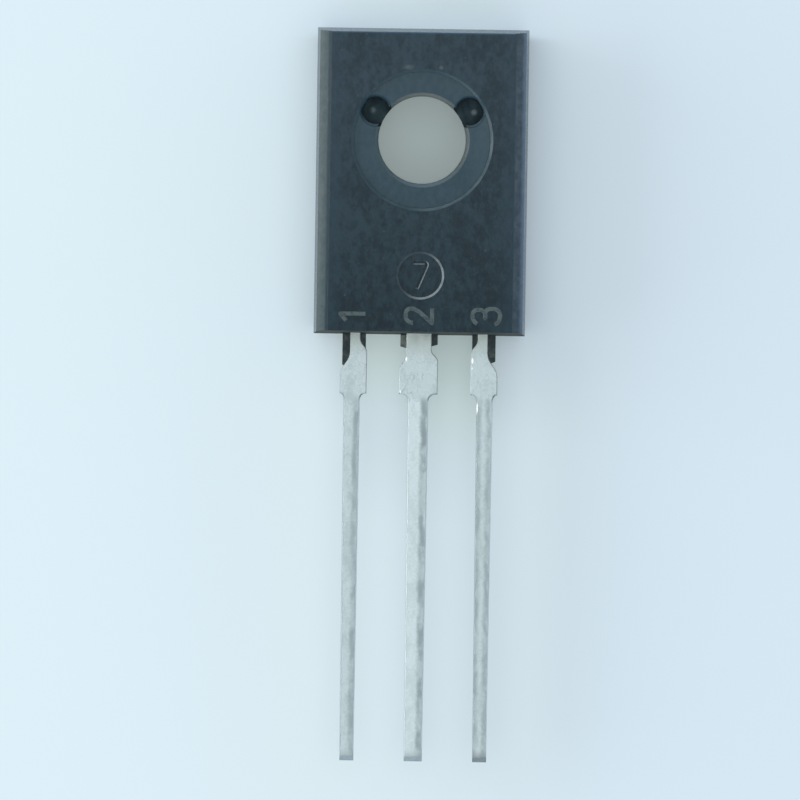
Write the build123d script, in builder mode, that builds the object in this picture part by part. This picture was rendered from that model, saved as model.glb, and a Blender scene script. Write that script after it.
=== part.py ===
from build123d import *
import os
from math import atan2, cos, degrees, radians, sin

# Three-lead power transistor in a flat moulded package with one bolt hole.
# Millimetres. It lies on its metal back, with the front face up along +Z and the leads along -Y.
# The origin is where the bolt hole's axis meets the seating plane, which is the tab's bare back.

# ---- Driving sizes: moulded body ----
body_width = 7.60
hole_to_top = 4.00
hole_to_bottom = 7.00
front_cover = 0.85  # epoxy over the leads
draft = 6.0  # degrees, on all walls, both ways from the parting plane
bevel_width = 0.38  # along both long edges of the front
bevel_depth = 0.38

# ---- Driving sizes: bolt hole and the washer seat round it ----
hole_diameter = 3.15
seat_diameter = 5.10
seat_depth = 0.10
seat_slope = 45.0  # degrees, of the wall down to the seat
rim_chamfer = 0.13

# ---- Driving sizes: pockets left by the two mould pins that hold the tab down ----
pin_diameter = 0.96
pin_break_in = 0.08  # how far each pocket opens into the hole's wall
pin_angle = 31.5  # degrees above the hole's level centre line
pin_mouth = 0.06  # bevel round each pocket's mouth

# ---- Driving sizes: ejector mark, a shallow dish with the mould cavity's number, 7, cut in its floor ----
mark_diameter = 1.72
mark_depth = 0.06
mark_slope = 52.0  # degrees, of the wall down to its floor
mark_to_bottom = 2.15
figure_width = 0.54
figure_height = 0.94
figure_foot = 0.12  # the seven's foot, left of the mark's centre
figure_bend = 0.09
figure_line = 0.15  # across the mouth of its groove
figure_depth = 0.05
figure_slope = 40.0  # degrees, of the groove's sides

# ---- Driving sizes: tab ----
tab_thickness = 1.00
side_wall = 1.00  # epoxy beside the tab
top_wall = 1.00  # epoxy above the tab
bottom_wall = 2.00  # epoxy below the tab, where the bond posts lie
tab_corner = 0.30
lock_ledge = 0.25  # how far the tab's buried half overhangs its bare back
lock_height = 0.40

# ---- Driving sizes: leads ----
lead_pitch = 2.39
lead_length = 15.35
lead_thickness = 0.50
lead_rise = 0.15  # tab's face to the underside of the leads
outer_width = 0.58
outer_tip_width = 0.50
centre_width = 0.74
centre_tip_width = 0.65
tip_bevel = 0.17
edge_round = 0.06

# ---- Driving sizes: necks, and the stubs left where the dam bar was trimmed ----
# Distances down a lead are measured from the body's end wall.
outer_neck_width = 0.36
outer_neck_shift = 0.10  # towards the centre lead
outer_stub_width = 0.96
outer_stub_shift = 0.04
centre_neck_width = 0.90
centre_stub_width = 1.37
outer_flare_start = 0.58
outer_flare_end = 1.54
inner_flare_start = 0.12
inner_flare_end = 0.68
centre_left_flare_start = 0.60
centre_left_flare_end = 1.36
centre_right_flare_start = 0.52
centre_right_flare_end = 0.96
stub_reach = 2.13
shoulder_length = 0.26

# ---- Driving sizes: epoxy webs left between the necks and the trim lines ----
outer_trim = 0.36  # lead's centre line to the trim line, on its outer flank
inner_trim = 0.48
centre_trim = 0.67
web_taper = 0.18
emitter_outer_web = 1.28
emitter_inner_web = 0.68
centre_left_web = 0.60
centre_right_web = 0.52
base_inner_web = 0.72
base_outer_web = 1.10

# ---- Driving sizes: bond posts, and the joggle of the centre lead ----
post_cover = 0.75  # epoxy beside each post
post_gap = 0.20  # tab's end to the posts, seen from above
post_spacing = 0.70  # centre lead to the posts
post_length = 1.05
post_corner = 0.15
joggle_start = 0.25  # tab's end to the foot of the slope
joggle_run = 0.70
joggle_bend = 0.30  # on the strip's middle line
strip_root = 0.40  # how far the strip's drawn end reaches into the tab

# ---- Driving sizes: die, solder and bond wires ----
die_size = 1.50
die_thickness = 0.25
die_margin = 0.40  # tab's end to the die
solder_overhang = 0.08
solder_thickness = 0.05
wire_diameter = 0.20
wire_cover = 0.30  # epoxy over the wires' loops
knee_share = 0.60  # of the height or half run that a loop has at its tighter end
bond_inset = 0.40  # die's edges to the bonds
foot_length = 0.42
foot_width = 0.28
foot_thickness = 0.08

# ---- Places and levels that follow from them ----
hole_radius = hole_diameter / 2
lead_plane = tab_thickness + lead_rise
lead_top = lead_plane + lead_thickness
body_thickness = lead_top + front_cover
body_height = hole_to_top + hole_to_bottom
body_middle = (hole_to_top - hole_to_bottom) / 2
seat_floor = body_thickness - seat_depth

tab_width = body_width - 2 * side_wall
tab_top = hole_to_top - top_wall
tab_end = bottom_wall - hole_to_bottom
tab_length = tab_top - tab_end
tab_middle = (tab_top + tab_end) / 2

post_inner_end = tab_end - post_gap
post_outer_end = post_inner_end - post_length
post_outer_side = body_width / 2 - post_cover
post_inner_side = centre_neck_width / 2 + post_spacing

end_wall = -hole_to_bottom
stub_end = end_wall - stub_reach
shank_start = stub_end - shoulder_length
lead_tip = end_wall - lead_length
emitter_line = -lead_pitch
neck_middle = emitter_line + outer_neck_shift
stub_middle = emitter_line + outer_stub_shift

die_middle = tab_end + die_margin + die_size / 2
die_floor = tab_thickness + solder_thickness
die_top = die_floor + die_thickness


def flank(neck, stub, shank, tip, flare_start, flare_end, inner_end):
    """Draws one long side of a lead, from its inner end to its tip."""
    flare_top = end_wall - flare_start
    flare_foot = end_wall - flare_end
    flare_mid = (flare_top + flare_foot) / 2
    Line((neck, inner_end), (neck, flare_top))
    Bezier((neck, flare_top), (neck, flare_mid), (stub, flare_mid), (stub, flare_foot))
    Line((stub, flare_foot), (stub, stub_end))
    Bezier((stub, stub_end), (shank, stub_end), (shank, shank_start))
    Line((shank, shank_start), (tip, lead_tip))


def lead_outline(left, right, inner_end):
    """Draws a lead between two flanks, each given as its neck, stub, shank, tip and flare."""
    flank(*left, inner_end)
    flank(*right, inner_end)
    Line((left[0], inner_end), (right[0], inner_end))
    Line((left[3], lead_tip), (right[3], lead_tip))


def finish_shank(lead):
    """Bevels the sheared tip and rounds the long edges, as dipping in tin leaves them."""
    tip_edges = lead.edges().filter_by(Axis.X).group_by(Axis.Y)[0]
    chamfer(tip_edges, length=tip_bevel)
    long_edges = lead.edges().filter_by(GeomType.LINE)
    shank_edges = long_edges.filter_by(lambda edge: edge.length > 0.9 * (shank_start - lead_tip))
    fillet(shank_edges, radius=edge_round)


# ---- Emitter lead: necked, with a wide bond post inside the body ----
with BuildPart() as emitter_lead:
    with BuildSketch(Plane.XY.offset(lead_plane)):
        with BuildLine():
            lead_outline(
                (
                    neck_middle - outer_neck_width / 2,
                    stub_middle - outer_stub_width / 2,
                    emitter_line - outer_width / 2,
                    emitter_line - outer_tip_width / 2,
                    outer_flare_start,
                    outer_flare_end,
                ),
                (
                    neck_middle + outer_neck_width / 2,
                    stub_middle + outer_stub_width / 2,
                    emitter_line + outer_width / 2,
                    emitter_line + outer_tip_width / 2,
                    inner_flare_start,
                    inner_flare_end,
                ),
                post_outer_end,
            )
        make_face()
    extrude(amount=lead_thickness)
    finish_shank(emitter_lead)
    with BuildSketch(Plane.XY.offset(lead_plane)) as post:
        with Locations((-(post_outer_side + post_inner_side) / 2, post_inner_end - post_length / 2)):
            Rectangle(post_outer_side - post_inner_side, post_length)
        fillet(post.vertices(), radius=post_corner)
    extrude(amount=lead_thickness)

# ---- Base lead: the same stamping on the other side ----
with BuildPart() as base_lead:
    mirror(emitter_lead.part, about=Plane.YZ)

# ---- Collector frame: the tab and the centre lead, one piece of plated copper ----
with BuildPart() as collector_frame:
    with BuildSketch(Plane.XY) as bare_back:
        with Locations((0, tab_middle)):
            Rectangle(tab_width - 2 * lock_ledge, tab_length - 2 * lock_ledge)
        fillet(bare_back.vertices(), radius=tab_corner)
    extrude(amount=lock_height)
    with BuildSketch(Plane.XY.offset(lock_height)) as buried_half:
        with Locations((0, tab_middle)):
            Rectangle(tab_width, tab_length)
        fillet(buried_half.vertices(), radius=tab_corner)
    extrude(amount=tab_thickness - lock_height)
    Hole(radius=hole_radius)

    # the thin strip leaves the tab at its face and steps up to the leads' plane
    with BuildSketch(Plane.YZ):
        with BuildLine():
            FilletPolyline(
                (tab_end + strip_root, tab_thickness - lead_thickness / 2),
                (tab_end - joggle_start, tab_thickness - lead_thickness / 2),
                (tab_end - joggle_start - joggle_run, lead_plane + lead_thickness / 2),
                (end_wall, lead_plane + lead_thickness / 2),
                radius=joggle_bend,
            )
        trace(line_width=lead_thickness)
    extrude(amount=centre_neck_width / 2, both=True)

    with BuildSketch(Plane.XY.offset(lead_plane)):
        with BuildLine():
            widths = (centre_neck_width, centre_stub_width, centre_width, centre_tip_width)
            lead_outline(
                (*(-width / 2 for width in widths), centre_left_flare_start, centre_left_flare_end),
                (*(width / 2 for width in widths), centre_right_flare_start, centre_right_flare_end),
                end_wall,
            )
        make_face()
    extrude(amount=lead_thickness)
    finish_shank(collector_frame)

# ---- Die, on a film of solder that spreads a little past it ----
with BuildPart() as die_solder:
    with BuildSketch(Plane.XY.offset(tab_thickness)):
        with Locations((0, die_middle)):
            Rectangle(die_size + 2 * solder_overhang, die_size + 2 * solder_overhang)
    with BuildSketch(Plane.XY.offset(die_floor)):
        with Locations((0, die_middle)):
            Rectangle(die_size, die_size)
    loft()

with BuildPart() as silicon_die:
    with BuildSketch(Plane.XY.offset(die_floor)):
        with Locations((0, die_middle)):
            Rectangle(die_size, die_size)
    extrude(amount=die_thickness)

# ---- Bond wires: each stands on a pressed foot at both ends and arches over in straight runs ----
die_bond = Vector(-die_size / 2 + bond_inset, die_middle - die_size / 2 + bond_inset, die_top)
post_bond = Vector(-(post_outer_side + post_inner_side) / 2, post_inner_end - post_length / 2, lead_top)
wire_run = Vector(post_bond.X - die_bond.X, post_bond.Y - die_bond.Y, 0)
wire_heading = degrees(atan2(wire_run.Y, wire_run.X))
loop_level = body_thickness - wire_cover - wire_diameter / 2
loop_knee = knee_share * min(loop_level - lead_top, loop_level - die_top, wire_run.length / 2)
knee_step = wire_run.normalized() * loop_knee

with BuildPart() as emitter_wire:
    for bond in (die_bond, post_bond):
        with BuildSketch(Plane(origin=bond, z_dir=(0, 0, 1))):
            SlotOverall(foot_length, foot_width, rotation=wire_heading)
        extrude(amount=foot_thickness)
    with BuildLine() as loop:
        Polyline(
            die_bond,
            Vector(die_bond.X, die_bond.Y, loop_level - loop_knee),
            Vector(die_bond.X, die_bond.Y, loop_level) + knee_step,
            Vector(post_bond.X, post_bond.Y, loop_level) - knee_step,
            Vector(post_bond.X, post_bond.Y, loop_level - loop_knee),
            post_bond,
        )
    with BuildSketch(Plane(origin=die_bond, z_dir=(0, 0, 1))):
        Circle(wire_diameter / 2)
    sweep(path=loop.line, transition=Transition.RIGHT)

with BuildPart() as base_wire:
    mirror(emitter_wire.part, about=Plane.YZ)

# ---- Moulded body: epoxy cast round everything else, with its walls drafted both ways ----
pin_distance = hole_radius + pin_diameter / 2 - pin_break_in
pin_x = pin_distance * cos(radians(pin_angle))
pin_y = pin_distance * sin(radians(pin_angle))
mark_middle = end_wall + mark_to_bottom

# Each web: from the middle of the neck, out to its trim line, and how far it reaches.
webs = (
    (neck_middle, emitter_line - outer_trim, emitter_outer_web),
    (neck_middle, emitter_line + inner_trim, emitter_inner_web),
    (0, -centre_trim, centre_left_web),
    (0, centre_trim, centre_right_web),
    (-neck_middle, lead_pitch - inner_trim, base_inner_web),
    (-neck_middle, lead_pitch + outer_trim, base_outer_web),
)
inserts = (collector_frame, emitter_lead, base_lead, die_solder, silicon_die, emitter_wire, base_wire)

with BuildPart() as moulded_body:
    with BuildSketch(Plane.XY.offset(lead_plane)) as parting_outline:
        with Locations((0, body_middle)):
            Rectangle(body_width, body_height)
    extrude(amount=body_thickness - lead_plane, taper=draft)
    extrude(parting_outline.sketch, amount=-lead_plane, taper=draft)
    front = moulded_body.faces().sort_by(Axis.Z)[-1]
    chamfer(front.edges().filter_by(Axis.Y), length=bevel_width, length2=bevel_depth, reference=front)

    with BuildSketch(Plane.XY.offset(body_thickness)):
        Circle(seat_diameter / 2)
    extrude(amount=-seat_depth, taper=seat_slope, mode=Mode.SUBTRACT)
    Hole(radius=hole_radius)
    rim = moulded_body.edges().filter_by(GeomType.CIRCLE).group_by(Axis.Z)[-2].sort_by(SortBy.RADIUS)[0]
    chamfer(rim, length=rim_chamfer)
    with BuildSketch(Plane.XY.offset(tab_thickness)):
        with Locations((-pin_x, pin_y), (pin_x, pin_y)):
            Circle(pin_diameter / 2)
    extrude(amount=seat_floor - tab_thickness, mode=Mode.SUBTRACT)
    with BuildSketch(Plane.XY.offset(seat_floor)):
        with Locations((-pin_x, pin_y), (pin_x, pin_y)):
            Circle(pin_diameter / 2 + pin_mouth)
    extrude(amount=-pin_mouth, taper=45, mode=Mode.SUBTRACT)

    with BuildSketch(Plane.XY.offset(body_thickness)):
        with Locations((0, mark_middle)):
            Circle(mark_diameter / 2)
    extrude(amount=-mark_depth, taper=mark_slope, mode=Mode.SUBTRACT)
    with BuildSketch(Plane.XY.offset(body_thickness - mark_depth)):
        with BuildLine():
            FilletPolyline(
                (-figure_width / 2, mark_middle + figure_height / 2),
                (figure_width / 2, mark_middle + figure_height / 2),
                (-figure_foot, mark_middle - figure_height / 2),
                radius=figure_bend,
            )
        trace(line_width=figure_line)
    extrude(amount=-figure_depth, taper=figure_slope, mode=Mode.SUBTRACT)

    for neck, trim, reach in webs:
        with BuildSketch(Plane.XY.offset(lead_plane)):
            with BuildLine():
                Polyline(
                    (neck, end_wall + lead_thickness),
                    (trim, end_wall + lead_thickness),
                    (trim, end_wall - reach + web_taper),
                    (neck, end_wall - reach),
                    close=True,
                )
            make_face()
        extrude(amount=lead_thickness)
    for insert in inserts:
        add(insert.part, mode=Mode.SUBTRACT)

# ---- One file for each piece ----
os.makedirs("parts", exist_ok=True)
moulded_body.part.label = "moulded_body"
collector_frame.part.label = "collector_frame"
emitter_lead.part.label = "emitter_lead"
base_lead.part.label = "base_lead"
silicon_die.part.label = "silicon_die"
die_solder.part.label = "die_solder"
emitter_wire.part.label = "emitter_wire"
base_wire.part.label = "base_wire"
for piece in (moulded_body, *inserts):
    export_step(piece.part, f"parts/{piece.part.label}.step")
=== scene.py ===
"""Looks for a small three-lead power transistor in a flat moulded package, lying on a pale sheet."""

import math

import bmesh
import bpy
from mathutils import Matrix, Vector


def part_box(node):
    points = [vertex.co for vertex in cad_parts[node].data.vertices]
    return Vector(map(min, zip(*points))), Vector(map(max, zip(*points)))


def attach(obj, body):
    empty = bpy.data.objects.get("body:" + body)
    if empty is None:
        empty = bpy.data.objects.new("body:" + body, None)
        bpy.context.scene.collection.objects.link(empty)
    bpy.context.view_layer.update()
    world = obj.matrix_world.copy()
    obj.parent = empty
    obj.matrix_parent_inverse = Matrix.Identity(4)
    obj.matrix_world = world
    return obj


MM = 0.001

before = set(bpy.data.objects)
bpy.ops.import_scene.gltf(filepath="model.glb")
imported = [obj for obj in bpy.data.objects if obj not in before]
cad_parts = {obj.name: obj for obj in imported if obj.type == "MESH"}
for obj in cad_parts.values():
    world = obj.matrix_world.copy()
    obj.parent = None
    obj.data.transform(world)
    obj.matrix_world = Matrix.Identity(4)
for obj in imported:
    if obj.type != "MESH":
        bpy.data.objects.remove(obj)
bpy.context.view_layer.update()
scene = bpy.context.scene

body_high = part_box("moulded_body")[1]
lead_low, lead_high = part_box("emitter_lead")

# Places and sizes are in millimetres, in the frame's own axes: the screw hole's axis is at x 0 and y 0, the
# leads run down -Y, and the front looks up +Z.
side = body_high.x / MM  # the body's long walls are at plus and minus this
top_wall = body_high.y / MM
lead_wall = -7.0  # the body's wall that the leads come out of
bevel_start = 3.42  # where the bevels along both long edges of the front begin
shoulder = -9.39  # where the trimmed stubs end and the plain shanks begin
tip = lead_low.y / MM
pitch = 2.39  # between the leads' middle lines
centre_half = 0.80  # parts the centre lead from its neighbours
parting = lead_low.z / MM  # the leads' underside, where the draft of the body's walls turns round
lead_top = lead_high.z / MM
tab_face = 1.0  # level of the tab's front
seat_face = 2.4  # level of the washer seat's floor
pin_x, pin_y = 1.684, 1.032  # the mould-pin pockets lie either side of the hole
pin_radius = 0.54  # of their mouths
mark_y = -4.85

# Radii: just inside the foot of the washer seat's wall, and far enough out to take in the wall of the hole,
# its chamfer, the wall of the seat and the wall of the moulded mark.
seat_foot = 2.43
hole_limit = 1.62
rim_limit = 1.78
seat_limit = 2.61
mark_limit = 0.95

# Painted shade along each rolled edge: its lead's middle line, where the shaded band starts and ends to the
# right of that line, and how dark it is.
rolled_edge_shade = (
    (-pitch, 0.04, 0.25, 0.71),
    (0.0, 0.09, 0.32, 0.92),
    (pitch, -0.36, -0.12, 0.66),
    (pitch, 0.06, 0.23, 0.68),
)

# Painted highlights: glints on the leads' edges, each given by its place, half its width and half its length.
painted_glints = (
    (-0.45, -7.87, 0.05, 0.12),
    (-0.64, -9.05, 0.03, 0.10),
    (1.93, -7.90, 0.05, 0.15),
    (1.92, -8.17, 0.03, 0.05),
    (2.11, -9.62, 0.05, 0.26),
    (2.06, -10.50, 0.04, 0.22),
)

# Pale scuffs above the seat, given in the same way.
scuffs = (
    (-0.50, 2.60, 0.28, 0.13),
    (0.64, 2.60, 0.11, 0.11),
)

# Pin numbers printed above the leads. Each is one stroke of a pen, drawn upright and one unit tall.
figure_height = 0.90
pen = 0.15
ink_film = 0.04  # the ink's thickness as a share of the stroke's width
numbers_y = -6.30
strokes = {
    "1": ((-0.22, 0.26), (0.06, 0.50), (0.06, 0.50), (0.06, -0.50)),
    "2": (
        (-0.27, 0.26), (-0.24, 0.55), (0.30, 0.55), (0.30, 0.14),
        (-0.28, -0.50), (-0.28, -0.50), (0.31, -0.50),
    ),
    "3": (
        (-0.27, 0.36), (-0.16, 0.55), (0.29, 0.54), (0.28, 0.06), (-0.06, 0.04),
        (-0.06, 0.04), (0.34, 0.04), (0.32, -0.55), (-0.20, -0.55), (-0.30, -0.34),
    ),
}

# Sharp edges are softened by a narrow bevel, and on the leads by rounded shading too.
body_softening = 0.025
lead_softening = 0.070
lead_shading = 0.060
softened_angle = 28  # degrees, from which an edge counts as sharp
weld_distance = 0.0002

# The room's light by height, from the horizon at 0 to straight up at 1: grey at the horizon, a bright band
# just above it, dim upper walls and a pale ceiling.
room_strength = 3.0
room_shades = (
    (0.035, (0.230, 0.273, 0.297)),
    (0.055, (0.95, 0.97, 1.01)),
    (0.16, (0.95, 0.97, 1.01)),
    (0.34, (0.165, 0.172, 0.180)),
    (0.50, (0.130, 0.136, 0.142)),
    (0.70, (0.085, 0.085, 0.085)),
    (0.86, (0.53, 0.53, 0.515)),
    (1.0, (0.55, 0.55, 0.535)),
)

# The camera: how many degrees it is turned, how far right and up from the hole its view's middle is, how far
# further up it stands itself, its distance from that middle, and how much of the sheet's width it sees there.
camera_roll = 0.87
view_right = -0.795
view_up = -9.305
camera_up = 9.37
camera_distance = 300.0
view_width = 28.66
sensor_width = 36.0

sheet_half = 6.0  # metres


# ---------------------------------------------------------------- node helpers


class Nodes:
    """A material's node tree, with short calls for the nodes used here."""

    def __init__(self, name):
        self.material = bpy.data.materials.new(name)
        self.material.use_nodes = True
        self.tree = self.material.node_tree
        self.shader = self.tree.nodes["Principled BSDF"]
        place = self.new("ShaderNodeTexCoord")
        scale = self.new("ShaderNodeVectorMath", operation="SCALE")
        self.join(place.outputs["Object"], scale.inputs[0])
        scale.inputs["Scale"].default_value = 1.0 / MM
        self.place = scale.outputs[0]
        self.x, self.y, self.z = self.split(self.place)

    def new(self, kind, **settings):
        node = self.tree.nodes.new(kind)
        for key, value in settings.items():
            setattr(node, key, value)
        return node

    def join(self, source, target):
        self.tree.links.new(source, target)

    def feed(self, target, value):
        """Sets a socket to a number or a colour, or links it to another socket."""
        if isinstance(value, bpy.types.NodeSocket):
            self.join(value, target)
        else:
            target.default_value = value

    def split(self, vector):
        """The three parts of a vector."""
        node = self.new("ShaderNodeSeparateXYZ")
        self.join(vector, node.inputs[0])
        return node.outputs

    def stretched(self, sx, sy, sz):
        """The place on the object, with each axis scaled by itself."""
        node = self.new("ShaderNodeVectorMath", operation="MULTIPLY")
        self.join(self.place, node.inputs[0])
        node.inputs[1].default_value = (sx, sy, sz)
        return node.outputs[0]

    def noise(self, scale, detail=3.0, rough=0.6, vector=None, warp=0.0):
        node = self.new("ShaderNodeTexNoise")
        self.join(vector or self.place, node.inputs["Vector"])
        node.inputs["Scale"].default_value = scale
        node.inputs["Detail"].default_value = detail
        node.inputs["Roughness"].default_value = rough
        node.inputs["Distortion"].default_value = warp
        return node.outputs["Fac"]

    def math(self, operation, a, b=0.0, clamp=False):
        node = self.new("ShaderNodeMath", operation=operation, use_clamp=clamp)
        self.feed(node.inputs[0], a)
        self.feed(node.inputs[1], b)
        return node.outputs[0]

    def add(self, a, b, clamp=False):
        return self.math("ADD", a, b, clamp)

    def less(self, a, b):
        return self.math("SUBTRACT", a, b)

    def times(self, a, b, clamp=False):
        return self.math("MULTIPLY", a, b, clamp)

    def larger(self, a, b):
        return self.math("MAXIMUM", a, b)

    def size(self, value):
        """A value without its sign."""
        return self.math("ABSOLUTE", value)

    def both(self, *shares):
        """The product of several shares."""
        result = shares[0]
        for share in shares[1:]:
            result = self.times(result, share)
        return result

    def ramp(self, value, first, last, start=0.0, end=1.0, smooth=True):
        """Goes from start to end while the value goes from first to last, and stays level outside them."""
        node = self.new("ShaderNodeMapRange", interpolation_type="SMOOTHSTEP" if smooth else "LINEAR")
        self.feed(node.inputs["Value"], value)
        for name, number in zip(("From Min", "From Max", "To Min", "To Max"), (first, last, start, end)):
            self.feed(node.inputs[name], number)
        return node.outputs["Result"]

    def within(self, value, limit, soft):
        """One below a limit, fading out over a soft width on either side of it."""
        return self.ramp(value, limit + soft, limit - soft)

    def beyond(self, value, limit, soft):
        """One above a limit, fading in over a soft width on either side of it."""
        return self.ramp(value, limit - soft, limit + soft)

    def band(self, value, low, high, soft):
        """One between two limits, fading out at each."""
        return self.both(self.beyond(value, low, soft), self.within(value, high, soft))

    def distance(self, x, y, stretch=1.0):
        """How far a point lies from an upright axis, with its y counted for more or less than its x."""
        aside = self.less(self.x, x)
        along = self.times(self.less(self.y, y), stretch)
        return self.math("SQRT", self.add(self.times(aside, aside), self.times(along, along)))

    def from_pockets(self):
        """How far a point lies from the axis of the nearer mould-pin pocket."""
        return self.math("MINIMUM", self.distance(-pin_x, pin_y), self.distance(pin_x, pin_y))

    def spot(self, x, y, half_width, half_length, core, strength):
        """An oval of full strength out to its core, a share of its width, that fades out to its edge."""
        reach = self.distance(x, y, half_width / half_length)
        return self.ramp(reach, core * half_width, half_width, strength, 0.0)

    def mix(self, share, a, b):
        """A colour between two. The node's colours are its inputs 6 and 7 and its output 2."""
        node = self.new("ShaderNodeMix", data_type="RGBA")
        self.feed(node.inputs[0], share)
        self.feed(node.inputs[6], a)
        self.feed(node.inputs[7], b)
        return node.outputs[2]

    def bump(self, height, depth, under=None):
        node = self.new("ShaderNodeBump")
        node.inputs["Strength"].default_value = 1.0
        node.inputs["Distance"].default_value = depth * MM
        self.join(height, node.inputs["Height"])
        if under is not None:
            self.join(under, node.inputs["Normal"])
        return node.outputs["Normal"]

    def set(self, **values):
        """Sets the shader's sockets, and gives the finished material."""
        names = {
            "color": "Base Color",
            "rough": "Roughness",
            "metal": "Metallic",
            "normal": "Normal",
            "ior": "IOR",
            "shine": "Specular IOR Level",
        }
        for key, value in values.items():
            self.feed(self.shader.inputs[names[key]], value)
        return self.material


def tint(r, g, b):
    """An opaque colour."""
    return (r, g, b, 1.0)


# ---------------------------------------------------------------- moulding compound


class Epoxy(Nodes):
    """Black moulding compound: fine grain, smooth drafted walls, and paler sloped edges, partly from rubbing
    and partly painted light; painted shade darkens the pockets and the front towards the leads.
    """

    def __init__(self):
        super().__init__("epoxy")
        self.reach = self.distance(0.0, 0.0)
        surface = self.new("ShaderNodeNewGeometry")
        self.across, self.along, self.rise = self.split(surface.outputs["Normal"])
        cloud = self.noise(0.55, rough=0.5)
        self.grain = self.noise(9.0, detail=4.0)
        self.streak = self.noise(5.0, vector=self.stretched(1.0, 0.6, 1.0))
        self.mottle = self.noise(3.4, detail=4.0, rough=0.65)
        self.dust = self.noise(4.2, detail=2.0, rough=0.5, vector=self.stretched(1.0, 1.0, 0.2))
        self.tone = self.add(self.times(self.streak, 0.65), self.times(cloud, 0.35))
        self.lower = self.ramp(self.y, 2.0, lead_wall, smooth=False)
        above_bore = self.beyond(self.z, seat_face - 0.15, 0.05)
        self.in_seat = self.both(self.within(self.reach, seat_foot, 0.03), above_bore)
        self.sloped = self.both(self.ramp(self.rise, 0.94, 0.86), self.ramp(self.rise, 0.25, 0.40))
        above_tab = self.ramp(self.z, tab_face - 0.1, tab_face)
        self.in_pocket = self.both(self.within(self.from_pockets(), pin_radius + 0.04, 0.02), above_tab)
        upright = self.ramp(self.size(self.rise), 0.30, 0.15)
        self.outer_wall = self.both(upright, self.beyond(self.reach, seat_limit + 0.09, 0.1))
        self.at_leads = self.ramp(self.along, -0.3, -0.7)

    def flats(self):
        """The front, a little darker towards the leads from painted shade, and bluer by its long edges."""
        clouded = self.ramp(self.tone, 0.36, 0.64)
        upper_face = self.mix(clouded, tint(0.0030, 0.0165, 0.0280), tint(0.0120, 0.0335, 0.0515))
        # Painted shade: the lower front is darker.
        shaded_lower_face = self.mix(clouded, tint(0.0012, 0.0110, 0.0180), tint(0.0080, 0.0260, 0.0380))
        by_edge = self.ramp(self.size(self.x), 2.6, 3.3, 0.0, 0.35)
        edge_blue = tint(0.0150, 0.0390, 0.0620)
        return self.mix(by_edge, self.mix(self.lower, upper_face, shaded_lower_face), edge_blue)

    def seat(self):
        """The washer seat's floor, paler than the front, and most so on the right."""
        clouded = self.ramp(self.tone, 0.35, 0.65)
        floor = self.mix(clouded, tint(0.0120, 0.0380, 0.0570), tint(0.0200, 0.0480, 0.0690))
        right_side = tint(0.034, 0.067, 0.090)
        return self.mix(self.ramp(self.x, 1.4, 2.3, 0.0, 0.5), floor, right_side)

    def dust_and_scuffs(self, colour):
        dust_grey = tint(0.060, 0.080, 0.088)
        colour = self.mix(self.ramp(self.dust, 0.72, 0.78, 0.0, 0.5), colour, dust_grey)
        scuff_grey = tint(0.056, 0.080, 0.090)
        broken = self.ramp(self.streak, 0.35, 0.60, 0.4, 1.0)
        for place in scuffs:
            scuff = self.spot(*place, core=0.2, strength=0.8)
            colour = self.mix(self.both(scuff, broken), colour, scuff_grey)
        return colour

    def bevels(self, colour):
        """The front's long edges: the left one is pale in patches, partly from rubbing and partly painted
        light where it faces the light, with a painted shade line on its inner side; the right one is bluer
        outwards, a painted reflection.
        """
        outer_left = self.ramp(self.x, 0.50 - side, 0.04 - side)
        ragged = self.add(outer_left, self.times(self.less(self.mottle, 0.5), 1.5))
        rubbed_and_lit = self.ramp(ragged, 0.1, 0.9, smooth=False)
        # Painted light and rubbing: the left bevel is paler in patches.
        left = self.mix(rubbed_and_lit, tint(0.020, 0.046, 0.056), tint(0.058, 0.079, 0.084))
        # Painted shade along the left bevel's inner side.
        inner_shade_line = tint(0.002, 0.016, 0.026)
        left = self.mix(self.ramp(self.x, 0.07 - bevel_start, -0.01 - bevel_start), inner_shade_line, left)
        right = self.mix(
            self.ramp(self.mottle, 0.35, 0.65), tint(0.016, 0.036, 0.054), tint(0.036, 0.060, 0.080)
        )
        # Painted reflection along the right bevel's outer side.
        outer_reflection_blue = tint(0.112, 0.174, 0.265)
        right = self.mix(self.ramp(self.x, side - 0.26, side - 0.02, smooth=False), right, outer_reflection_blue)
        on_left = self.ramp(self.x, 0.17 - bevel_start, 0.12 - bevel_start)
        on_right = self.ramp(self.x, bevel_start - 0.12, bevel_start - 0.06)
        colour = self.mix(self.both(self.sloped, on_left), colour, left)
        return self.mix(self.both(self.sloped, on_right), colour, right)

    def mark_and_seat_walls(self, colour):
        """Painted light: the sloped walls of mark, figure and seat are painted palest where they face up and
        to the left, towards the light.
        """
        # How far each wall faces the light, which sets its painted highlight.
        toward = self.add(self.times(self.across, -0.87), self.times(self.along, 0.5))
        facing_light = self.both(
            self.sloped,
            self.ramp(toward, -0.25, 0.45, 0.15, 1.0),
            self.ramp(self.mottle, 0.25, 0.60, 0.55, 1.0),
        )
        by_mark = self.within(self.distance(0.0, mark_y), mark_limit, 0.03)
        mark_highlight = tint(0.150, 0.185, 0.200)
        colour = self.mix(self.both(facing_light, by_mark), colour, mark_highlight)
        patchy = self.ramp(self.noise(1.1, detail=2.0, rough=0.5), 0.38, 0.58, 0.15, 0.45)
        lit_seat_wall = self.mix(self.both(facing_light, patchy), tint(0.014, 0.040, 0.057), tint(0.085, 0.115, 0.130))
        past_floor = self.ramp(self.reach, seat_foot - 0.08, seat_foot - 0.03)
        by_seat = self.within(self.reach, seat_limit, 0.03)
        return self.mix(self.both(self.sloped, by_seat, past_floor), colour, lit_seat_wall)

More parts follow.
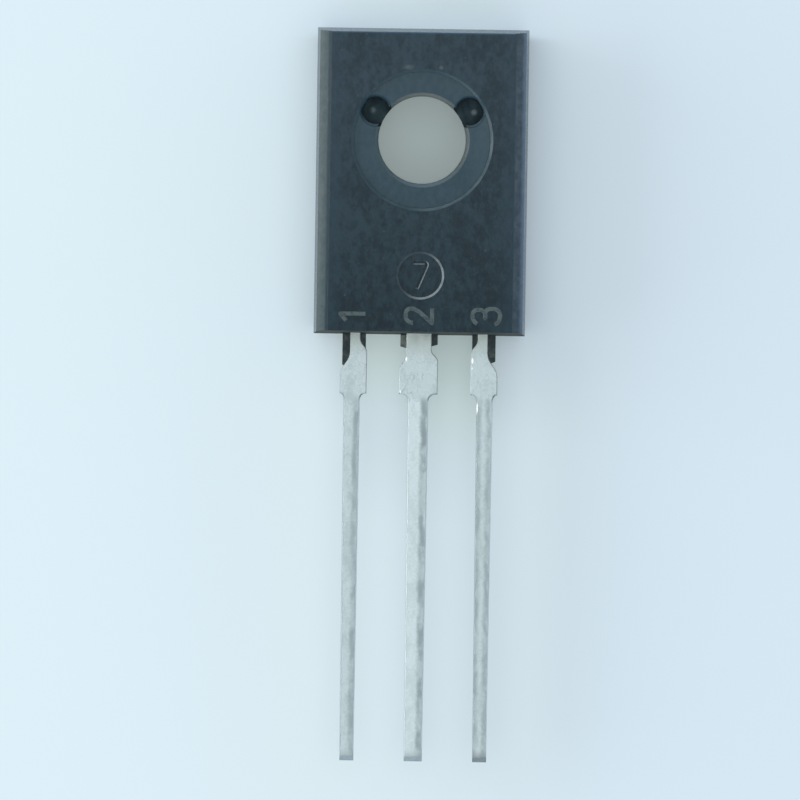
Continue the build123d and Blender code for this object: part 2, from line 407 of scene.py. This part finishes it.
    def rim(self, colour, seat):
        """The hole's chamfer: painted light and reflection change its tone all round, and outwards it takes
        on the seat's.
        """
        # Painted light and reflection: each side of the chamfer gets its own tone.
        rim = self.mix(self.ramp(self.y, -1.2, 1.2), tint(0.063, 0.098, 0.123), tint(0.090, 0.114, 0.116))
        right_side = tint(0.048, 0.068, 0.073)
        rim = self.mix(self.ramp(self.x, 0.3, 1.5), rim, right_side)
        left_side = tint(0.040, 0.070, 0.086)
        rim = self.mix(self.ramp(self.x, -0.3, -1.5), rim, left_side)
        rim = self.mix(self.ramp(self.reach, rim_limit - 0.15, rim_limit - 0.01, 0.0, 0.8), rim, seat)
        at_rim = self.both(self.sloped, self.within(self.reach, rim_limit, 0.02))
        return self.mix(at_rim, colour, rim)

    def pockets(self, colour):
        """Each mould-pin pocket is painted dark down to its floor, a painted shade, and its lower lip, which
        faces up, gets a painted highlight.
        """
        down = self.ramp(self.z, seat_face + 0.01, seat_face - 0.06)
        # Painted shade inside each pocket.
        pocket_shade = tint(0.004, 0.008, 0.011)
        colour = self.mix(self.both(self.in_pocket, down), colour, pocket_shade)
        # Painted highlight on the upward-facing lower lip.
        lip = self.both(self.in_pocket, self.sloped, self.ramp(self.along, 0.2, 0.6))
        lip_highlight = tint(0.045, 0.065, 0.078)
        return self.mix(lip, colour, lip_highlight)

    def walls(self, colour):
        """The drafted walls came off a polished mould. The top one and the front's edge by it are painted
        bluer, a painted reflection of the pale sheet.
        """
        at_top = self.both(self.ramp(self.along, 0.3, 0.7), self.beyond(self.z, parting, 0.01))
        polished = self.mix(at_top, tint(0.011, 0.029, 0.044), tint(0.012, 0.035, 0.058))
        lead_side = tint(0.050, 0.058, 0.055)
        polished = self.mix(self.at_leads, polished, lead_side)
        colour = self.mix(self.outer_wall, colour, polished)
        level = self.ramp(self.rise, 0.96, 0.99)
        top_edge = self.both(self.ramp(self.y, top_wall - 0.21, top_wall - 0.07, smooth=False), level)
        # A painted reflection along the front's top edge.
        edge_blue = tint(0.062, 0.142, 0.240)
        return self.mix(top_edge, colour, edge_blue)

    def webs(self, colour):
        """The flash beside the necks is dark and dirty, and pale where it is thin, left of the centre one:
        painted light coming through it.
        """
        flash = self.both(
            self.ramp(self.y, lead_wall, lead_wall - 0.02),
            self.ramp(self.z, lead_top + 0.05, lead_top + 0.01),
            self.ramp(self.z, parting - 0.05, parting - 0.01),
        )
        dirt_and_shade = self.mix(
            self.ramp(self.mottle, 0.40, 0.70), tint(0.009, 0.020, 0.024), tint(0.040, 0.055, 0.056)
        )
        # Painted light where the thin flash lets light through.
        thin = self.both(self.band(self.x, -0.72, -0.40, 0.05), self.ramp(self.mottle, 0.30, 0.60, 0.3, 0.8))
        thin_glow_grey = tint(0.125, 0.155, 0.145)
        return self.mix(flash, colour, self.mix(thin, dirt_and_shade, thin_glow_grey))

    def finished(self):
        seat = self.seat()
        colour = self.mix(self.in_seat, self.flats(), seat)
        colour = self.dust_and_scuffs(colour)
        colour = self.bevels(colour)
        colour = self.mark_and_seat_walls(colour)
        colour = self.rim(colour, seat)
        colour = self.pockets(colour)
        colour = self.walls(colour)
        colour = self.webs(colour)

        # The seat is smoother than the rest of the front, and the front duller towards the leads. The walls
        # are glossy, apart from the one that the leads come out of.
        gloss = self.both(self.outer_wall, self.ramp(self.at_leads, 0.0, 1.0, 1.0, -0.5, smooth=False))
        rough = self.add(self.ramp(self.grain, 0.3, 0.7, 0.46, 0.60), self.times(self.in_seat, -0.08))
        rough = self.less(rough, self.times(gloss, 0.28))
        shine = self.ramp(self.lower, 0.0, 1.0, 0.40, 0.28, smooth=False)
        shine = self.add(shine, self.times(gloss, 0.34))
        shine = self.times(shine, self.less(1.0, self.times(self.in_pocket, 0.8)))
        fine = self.bump(self.grain, 0.008, self.bump(self.streak, 0.012))
        return self.set(color=colour, rough=rough, normal=fine, ior=1.42, shine=shine)


# ---------------------------------------------------------------- tinned copper


class Tin(Nodes):
    """Dull dipped tin: blotched, with painted shade in stripes along the shanks' rolled edges, on the necks
    and on the sheared tips, and painted light and glints on its edges.
    """

    def __init__(self):
        super().__init__("tinned_copper")
        self.patch = self.noise(2.2, detail=4.0, vector=self.stretched(1.0, 0.5, 1.0), warp=0.4)
        self.speck = self.noise(11.0)
        self.rounded = self.new("ShaderNodeBevel", samples=8)
        self.rounded.inputs["Radius"].default_value = lead_shading * MM
        self.lean = self.split(self.rounded.outputs["Normal"])[0]
        self.on_shank = self.ramp(self.y, shoulder + 0.25, shoulder - 0.05)
        self.on_centre = self.within(self.size(self.x), centre_half, 0.05)
        self.above_tab = self.ramp(self.z, tab_face, tab_face + 0.1)

    def plain(self):
        """Blotches, lighter on the centre lead's shank, and painted shade where the necks leave the body."""
        tone = self.add(self.times(self.patch, 0.75), self.times(self.speck, 0.25))
        colour = self.mix(self.ramp(tone, 0.36, 0.60), tint(0.300, 0.366, 0.397), tint(0.414, 0.496, 0.536))
        lighter = self.mix(self.ramp(tone, 0.38, 0.60), tint(0.385, 0.468, 0.500), tint(0.490, 0.582, 0.622))
        colour = self.mix(self.both(self.on_centre, self.on_shank, 0.70), colour, lighter)
        # Painted shade on the necks, darker towards the body.
        near_wall = self.ramp(self.y, lead_wall - 1.0, lead_wall, 0.0, 0.75)
        neck = self.both(near_wall, self.above_tab, self.ramp(self.y, lead_wall + 0.1, lead_wall))
        dirt_and_shade = tint(0.27, 0.32, 0.30)
        return self.mix(neck, colour, dirt_and_shade)

    def veins(self, colour):
        """Soft grey veins where the dip drained off the stubs."""
        vein = self.noise(1.15, rough=0.55, warp=0.7)
        line = self.ramp(self.size(self.less(vein, 0.5)), 0.014, 0.0)
        on_stub = self.both(self.ramp(self.y, shoulder - 0.25, shoulder), self.above_tab)
        share = self.both(line, on_stub, self.ramp(self.patch, 0.40, 0.60, 0.10, 0.50))
        vein_grey = tint(0.20, 0.25, 0.27)
        return self.mix(share, colour, vein_grey)

    def bands(self, colour):
        """Painted shade: darker, wandering stripes along the shanks' rolled edges, where the rolled tin faces
        away from the light.
        """
        wander = self.times(self.less(self.noise(2.0, detail=4.0, rough=0.65), 0.5), 0.24)
        patchiness = self.noise(1.9, vector=self.stretched(1.0, 0.6, 1.0))
        shade_depth = self.ramp(patchiness, 0.36, 0.60, 0.50, 1.20)
        shade_tone = tint(0.215, 0.270, 0.295)
        # Each stripe is painted shade, stronger and weaker at random.
        for middle, start, end, depth in rolled_edge_shade:
            off = self.add(self.less(self.x, middle), wander)
            share = self.both(
                self.band(off, start, end, 0.08), self.on_shank, self.times(shade_depth, depth, clamp=True)
            )
            colour = self.mix(share, colour, shade_tone)
        return colour

    def edges(self, colour):
        """Painted light and shade by the way an edge faces: right edges are painted dark on the stubs and
        pale on the shanks, and all left ones a little dark.
        """
        above = self.ramp(self.z, parting + 0.15, parting + 0.30)
        upright = self.less(1.0, self.ramp(self.lean, 0.97, 0.90))
        right_share = self.less(0.85, self.both(self.on_shank, upright))
        right_edge = self.both(self.ramp(self.lean, 0.15, 0.50), above, right_share)
        # Painted shade on the stubs' right edges, painted light on the shanks' right edges.
        painted_right_edge = self.mix(self.on_shank, tint(0.07, 0.095, 0.105), tint(0.47, 0.56, 0.60))
        colour = self.mix(right_edge, colour, painted_right_edge)
        faint = self.both(self.ramp(self.x, -1.6, -1.4), self.ramp(self.on_shank, 0.0, 1.0, 0.50, 0.0))
        left_edge = self.both(self.ramp(self.lean, -0.15, -0.50), above, self.less(0.75, faint))
        # Painted shade on the left edges, which tones down the lamp's highlight there.
        shank_left_shade = self.mix(self.on_centre, tint(0.21, 0.255, 0.27), tint(0.32, 0.385, 0.40))
        stub_left_shade = tint(0.18, 0.22, 0.235)
        return self.mix(left_edge, colour, self.mix(self.on_shank, stub_left_shade, shank_left_shade))

    def shaded_tips_and_glints(self, colour):
        # Painted shade on each tip's sloped sheared end, darker on the right lead.
        at_tip = self.ramp(self.y, tip + 0.50, tip + 0.08)
        shaded_tip = self.both(at_tip, self.ramp(self.speck, 0.30, 0.60, 0.65, 1.0))
        on_right_lead = self.ramp(self.x, 1.1, 1.3)
        tip_shade = self.mix(on_right_lead, tint(0.265, 0.325, 0.350), tint(0.185, 0.225, 0.242))
        colour = self.mix(shaded_tip, colour, tip_shade)
        glint_white = tint(0.80, 0.84, 0.86)
        # Painted highlights on the leads' edges.
        for place in painted_glints:
            colour = self.mix(self.spot(*place, core=0.3, strength=0.9), colour, glint_white)
        return colour

    def tab(self, colour):
        """The tab is bare in the hole's wall, and painted dark under the mould pins, a painted shade, with a
        painted glint at each.
        """
        left_spot = self.ramp(self.distance(-pin_x - 0.10, pin_y + 0.03), 0.16, 0.02)
        right_spot = self.ramp(self.distance(pin_x + 0.17, pin_y - 0.01), 0.15, 0.02)
        pocket_glint = self.larger(self.both(left_spot, 0.45), right_spot)
        pocket_glint = self.both(pocket_glint, self.ramp(self.speck, 0.25, 0.55, 0.5, 1.0))
        # Painted shade on the tab under the pins, with a painted glint in each.
        shade_tone = self.mix(pocket_glint, tint(0.024, 0.041, 0.051), tint(0.12, 0.155, 0.170))
        bare = self.within(self.distance(0.0, 0.0), hole_limit, 0.02)
        bare_copper = tint(0.50, 0.48, 0.43)
        colour = self.mix(bare, colour, bare_copper)
        at_face = self.band(self.z, tab_face - 0.05, tab_face + 0.05, 0.02)
        by_pin = self.within(self.from_pockets(), pin_radius, 0.02)
        return self.mix(self.both(by_pin, self.larger(at_face, bare)), colour, shade_tone)

    def finished(self):
        colour = self.plain()
        colour = self.veins(colour)
        colour = self.bands(colour)
        colour = self.edges(colour)
        colour = self.shaded_tips_and_glints(colour)
        colour = self.tab(colour)
        rough = self.ramp(self.patch, 0.3, 0.7, 0.38, 0.54)
        wave = self.bump(self.patch, 0.020, self.rounded.outputs["Normal"])
        return self.set(color=colour, rough=rough, normal=self.bump(self.speck, 0.004, wave), metal=1.0)


# ---------------------------------------------------------------- hidden metals, ink and the sheet


def metal_material(name, dark, pale, roughness, scale, metal=1.0):
    """A fine-grained metal between two tones, and between two values of roughness."""
    n = Nodes(name)
    grain = n.noise(scale)
    colour = n.mix(n.ramp(grain, 0.3, 0.7), dark, pale)
    rough = n.ramp(grain, 0.3, 0.7, *roughness)
    return n.set(color=colour, rough=rough, normal=n.bump(grain, 0.003), metal=metal)


def ink_material():
    """Thin pale ink, half worn into the grain."""
    n = Nodes("marking_ink")
    patchiness = n.noise(7.0, detail=4.0, rough=0.65)
    colour = n.mix(n.ramp(patchiness, 0.35, 0.60), tint(0.014, 0.032, 0.041), tint(0.052, 0.080, 0.087))
    rough = n.ramp(patchiness, 0.3, 0.7, 0.50, 0.62)
    return n.set(color=colour, rough=rough, normal=n.bump(patchiness, 0.003), ior=1.42)


class Sheet(Nodes):
    """A pale sheet with a faint cloud, and a painted glow that fills part of the shadow under and by the
    part.
    """

    def __init__(self):
        super().__init__("pale_sheet")
        self.aside = self.size(self.x)
        self.in_hole = self.within(self.distance(0.0, 0.0), 2.1, 0.2)
        self.above_body = self.both(
            self.ramp(self.aside, 6.0, 3.6),
            self.ramp(self.y, top_wall - 0.4, top_wall - 0.2),
            self.ramp(self.y, top_wall + 1.6, top_wall),
        )
        self.far = self.ramp(self.distance(0.0, -9.0), 24.0, 60.0)

    def surface(self):
        """The matt sheet itself, a little darker to the right: painted shade."""
        across = self.ramp(self.x, -16.0, 16.0)
        cloud = self.noise(0.12, detail=2.0, rough=0.5)
        fibre = self.noise(14.0)
        share = self.add(across, self.times(self.less(cloud, 0.5), 0.25), clamp=True)
        # Painted shade: the sheet darkens to the right.
        colour = self.mix(share, tint(0.604, 0.718, 0.792), tint(0.572, 0.686, 0.786))
        rough = self.ramp(fibre, 0.3, 0.7, 0.82, 0.95)
        self.set(color=colour, rough=rough, normal=self.bump(fibre, 0.002), shine=0.0)

    def painted_glow_colour(self):
        """The painted glow's colour: paler on the left, and a painted shadow between the leads that is warmer
        the nearer it comes to the body; painted shade in the hole.
        """
        lit = self.mix(self.ramp(self.x, -6.0, 6.0), tint(0.722, 0.834, 0.872), tint(0.655, 0.775, 0.832))
        between = self.both(self.ramp(self.y, -14.5, -10.2), self.band(self.x, -2.2, 2.2, 0.5))
        # Painted shade between the leads.
        between_leads_shade = tint(0.60, 0.71, 0.75)
        lit = self.mix(between, lit, between_leads_shade)
        to_right = self.ramp(self.x, -0.9, 1.0)
        # Painted shadow, warmer near the body.
        warm_shadow = self.mix(to_right, tint(0.64, 0.76, 0.68), tint(0.55, 0.66, 0.57))
        left_of_leads = tint(0.70, 0.82, 0.84)
        warm_shadow = self.mix(self.ramp(self.x, -2.2, -3.2), warm_shadow, left_of_leads)
        right_of_leads = tint(0.60, 0.70, 0.74)
        warm_shadow = self.mix(self.ramp(self.x, 2.2, 3.2), warm_shadow, right_of_leads)
        warm_start = self.ramp(self.x, -0.9, 1.0, -10.6, -12.0)
        lit = self.mix(self.ramp(self.y, warm_start, lead_wall - 0.7), lit, warm_shadow)
        above_blue = tint(0.62, 0.77, 0.87)
        lit = self.mix(self.above_body, lit, above_blue)
        # Painted shade in the hole.
        hole_shade = tint(0.300, 0.358, 0.335)
        lit = self.mix(self.in_hole, lit, hole_shade)
        far_blue = tint(0.69, 0.82, 0.89)
        return self.mix(self.far, lit, far_blue)

    def painted_glow_share(self):
        """How much of the sheet's look is the painted glow, at each place."""
        under_leads = self.both(
            self.ramp(self.aside, 9.0, 3.0),
            self.ramp(self.y, lead_wall + 0.1, -11.0),
            self.ramp(self.y, tip - 4.15, tip - 0.15),
        )
        by_body = self.both(
            self.ramp(self.aside, 4.6, 3.0),
            self.ramp(self.y, lead_wall - 2.6, lead_wall - 0.6),
            self.ramp(self.y, lead_wall + 0.6, lead_wall),
        )
        share = self.ramp(under_leads, 0.0, 1.0, 0.12, 0.62, smooth=False)
        share = self.add(share, self.times(self.in_hole, 0.45))
        share = self.add(share, self.times(by_body, 0.18))
        share = self.add(share, self.times(self.above_body, 0.30))
        return self.larger(share, self.far)

    def finished(self):
        """Only camera, glossy and transmission rays see this light: the part mirrors it, but isn't lit."""
        self.surface()
        glow = self.new("ShaderNodeEmission")
        self.join(self.painted_glow_colour(), glow.inputs["Color"])
        path = self.new("ShaderNodeLightPath")
        seen = self.larger(path.outputs["Is Camera Ray"], path.outputs["Is Glossy Ray"])
        seen = self.larger(seen, path.outputs["Is Transmission Ray"])
        blend = self.new("ShaderNodeMixShader")
        self.join(self.both(seen, self.painted_glow_share()), blend.inputs[0])
        self.join(self.shader.outputs[0], blend.inputs[1])
        self.join(glow.outputs[0], blend.inputs[2])
        self.join(blend.outputs[0], self.tree.nodes["Material Output"].inputs["Surface"])
        return self.material


epoxy = Epoxy().finished()
tin = Tin().finished()
silicon = metal_material(
    "silicon", tint(0.16, 0.18, 0.22), tint(0.24, 0.26, 0.30), (0.15, 0.25), scale=3.0, metal=0.6
)
solder = metal_material("solder", tint(0.42, 0.43, 0.42), tint(0.56, 0.56, 0.55), (0.35, 0.50), scale=6.0)
wire = metal_material("bond_wire", tint(0.74, 0.74, 0.76), tint(0.85, 0.85, 0.87), (0.22, 0.34), scale=12.0)
finishes = {"epoxy": epoxy, "tinned_copper": tin, "silicon": silicon, "solder": solder, "bond_wire": wire}

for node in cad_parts.values():
    for slot in node.material_slots:
        slot.material = finishes[slot.material.name.split(".")[0]]


# ---------------------------------------------------------------- printed figures


def print_figure(figure, x, y, ink):
    """Lays one figure on the front as a flat line of ink, turned to read up along the leads."""
    data = bpy.data.curves.new("pin_number_" + figure, "CURVE")
    data.dimensions = "3D"
    data.bevel_depth = pen / 2 * MM
    data.use_fill_caps = True
    stroke = data.splines.new("NURBS")
    stroke.points.add(len(strokes[figure]) - 1)
    for point, (across, up) in zip(stroke.points, strokes[figure]):
        point.co = (across * figure_height * MM, up * figure_height * MM, 0.0, 1.0)
    stroke.order_u = 3
    stroke.use_endpoint_u = True
    line = bpy.data.objects.new("pin_number_" + figure, data)
    scene.collection.objects.link(line)
    line.scale = (1.0, 1.0, ink_film)
    line.rotation_euler = (0.0, 0.0, math.radians(90.0))
    line.location = (x * MM, y * MM, body_high.z)
    data.materials.append(ink)
    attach(line, "root")


ink = ink_material()
for figure, x in (("1", -pitch), ("2", 0.0), ("3", pitch)):
    print_figure(figure, x, numbers_y, ink)


# ---------------------------------------------------------------- softened edges


def soften(node, width):
    """Bevels a solid's sharp edges, once the mesh's doubled points are joined."""
    weld = node.modifiers.new("weld", "WELD")
    weld.merge_threshold = weld_distance * MM
    bevel = node.modifiers.new("edges", "BEVEL")
    bevel.width = width * MM
    bevel.segments = 2
    bevel.limit_method = "ANGLE"
    bevel.angle_limit = math.radians(softened_angle)
    bevel.harden_normals = True


soften(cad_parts["moulded_body"], body_softening)
for name in ("collector_frame", "emitter_lead", "base_lead"):
    soften(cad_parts[name], lead_softening)


# ---------------------------------------------------------------- floor, light and camera


def make_floor():
    """The sheet that the part lies on, far wider than the view."""
    mesh = bpy.data.meshes.new("sheet")
    build = bmesh.new()
    bmesh.ops.create_grid(build, x_segments=8, y_segments=8, size=sheet_half)
    build.to_mesh(mesh)
    build.free()
    floor = bpy.data.objects.new("sheet", mesh)
    scene.collection.objects.link(floor)
    floor.data.materials.append(Sheet().finished())


def make_world():
    """The room's even light, by height."""
    world = bpy.data.worlds.new("room_light")
    scene.world = world
    world.use_nodes = True
    tree = world.node_tree
    place = tree.nodes.new("ShaderNodeTexCoord")
    split = tree.nodes.new("ShaderNodeSeparateXYZ")
    tree.links.new(place.outputs["Generated"], split.inputs[0])
    ramp = tree.nodes.new("ShaderNodeValToRGB")
    tree.links.new(split.outputs["Z"], ramp.inputs[0])
    stops = ramp.color_ramp.elements
    for stop, (height, shade) in zip(stops, (room_shades[0], room_shades[-1])):
        stop.position = height
        stop.color = tint(*shade)
    for height, shade in room_shades[1:-1]:
        stops.new(height).color = tint(*shade)
    light = tree.nodes["Background"]
    tree.links.new(ramp.outputs[0], light.inputs["Color"])
    light.inputs["Strength"].default_value = room_strength


def make_lamp(name, place, wide, high, power, color):
    """A soft lamp that looks at the middle of the part. Its places and sizes are in metres."""
    data = bpy.data.lights.new(name, "AREA")
    data.shape = "RECTANGLE"
    data.size = wide
    data.size_y = high
    data.energy = power
    data.color = color
    lamp = bpy.data.objects.new(name, data)
    scene.collection.objects.link(lamp)
    lamp.location = place
    middle = Vector((0.0, -0.009, 0.0))
    lamp.rotation_euler = (middle - Vector(place)).to_track_quat("-Z", "Y").to_euler()


def make_camera():
    """Looks down from above the screw hole, at the middle of the view lower down the leads."""
    roll = math.radians(camera_roll)
    right = Vector((math.cos(roll), math.sin(roll), 0.0))
    up = Vector((-math.sin(roll), math.cos(roll), 0.0))
    aim = right * (view_right * MM) + up * (view_up * MM) + Vector((0.0, 0.0, body_high.z))
    distance = camera_distance * MM
    lean = math.atan2(camera_up * MM, distance)
    back = up * math.sin(lean) + Vector((0.0, 0.0, math.cos(lean)))
    rise = up * math.cos(lean) - Vector((0.0, 0.0, math.sin(lean)))
    data = bpy.data.cameras.new("camera")
    data.sensor_width = sensor_width
    data.lens = sensor_width * distance / (view_width * MM)
    data.clip_start = 0.01
    data.clip_end = 20.0
    camera = bpy.data.objects.new("camera", data)
    scene.collection.objects.link(camera)
    turn = Matrix((right, rise, back)).transposed().to_4x4()
    turn.translation = aim + back * distance
    camera.matrix_world = turn
    scene.camera = camera


make_floor()
make_world()
make_lamp("window", (-0.36, 0.0, 0.115), wide=0.34, high=0.16, power=0.80, color=(1.0, 0.98, 0.92))
make_lamp("door", (-0.22, 0.20, 0.16), wide=0.30, high=0.20, power=0.16, color=(1.0, 1.0, 1.0))
make_camera()
scene.view_settings.view_transform = "Standard"
